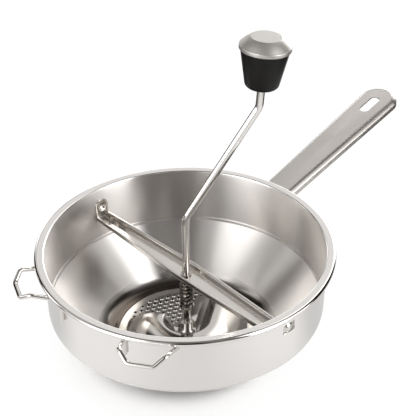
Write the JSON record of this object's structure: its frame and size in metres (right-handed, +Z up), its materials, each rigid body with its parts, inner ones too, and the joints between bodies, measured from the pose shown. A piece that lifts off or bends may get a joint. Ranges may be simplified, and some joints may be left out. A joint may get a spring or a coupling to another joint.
{
  "type": "rotary food mill",
  "caption": "Steel bowl with a long handle and wire pot rests, in which a hand crank turns a sprung blade on a loose sieve disc to strain cooked fruit or vegetables.",
  "frame": {"origin": "on the bowl's axis, at the level of the foot ring that it stands on", "axes": "+Z up along the crank's axis, +X along the handle, towards its free end"},
  "size_m": [0.4297, 0.24, 0.2745],
  "materials": {
    "polished_steel": "mirror polished stainless steel",
    "satin_steel": "turned satin stainless steel",
    "disc_steel": "punched stainless steel",
    "handle_steel": "satin stainless steel",
    "wire_steel": "polished stainless wire",
    "bridge_steel": "pressed stainless steel, semi-polished",
    "fitting_steel": "turned steel",
    "spring_steel": "drawn spring wire",
    "rod_steel": "polished round bar",
    "blade_steel": "pressed stainless steel, polished",
    "black_plastic": "satin black moulded plastic",
    "cap_steel": "polished pressed steel"
  },
  "bodies": {
    "bowl": {"bowl_shell": "polished_steel", "hopper_cone": "satin_steel", "sieve_disc": "disc_steel", "pan_handle": "handle_steel", "handle_saddle": "handle_steel", "rest_hook_left": "wire_steel", "rest_hook_right": "wire_steel", "bridge_bar": "bridge_steel", "bridge_bush": "fitting_steel", "spring_washer": "fitting_steel", "pressure_spring": "spring_steel"},
    "thrust": {"thrust_washer": "fitting_steel"},
    "crank": {"crank_rod": "rod_steel", "shaft_collar": "fitting_steel", "collar_pin": "fitting_steel", "press_blade": "blade_steel", "blade_hub": "fitting_steel", "hub_pin": "fitting_steel", "knob_stop_ring": "fitting_steel", "knob_washer": "fitting_steel", "knob_lock_ring": "fitting_steel"},
    "knob": {"knob_grip": "black_plastic", "knob_cap": "cap_steel", "knob_sleeve": "fitting_steel"}
  },
  "joints": [
    {"name": "blade_lift", "type": "slide", "parent": "bowl", "child": "thrust", "axis": [0, 0, 1], "range_m": [0, 0.008], "stiffness_N_per_m": 1500, "springref_m": -0.02, "deforming": ["pressure_spring"]},
    {"name": "crank_turn", "type": "hinge", "parent": "thrust", "child": "crank", "pos_m": [0, 0, 0.0365], "axis": [0, 0, 1], "continuous": true},
    {"name": "knob_spin", "type": "hinge", "parent": "crank", "child": "knob", "pos_m": [0.03855, -0.04006, 0.2195], "axis": [0.0411, -0.0427, 0.9982], "continuous": true}
  ]
}
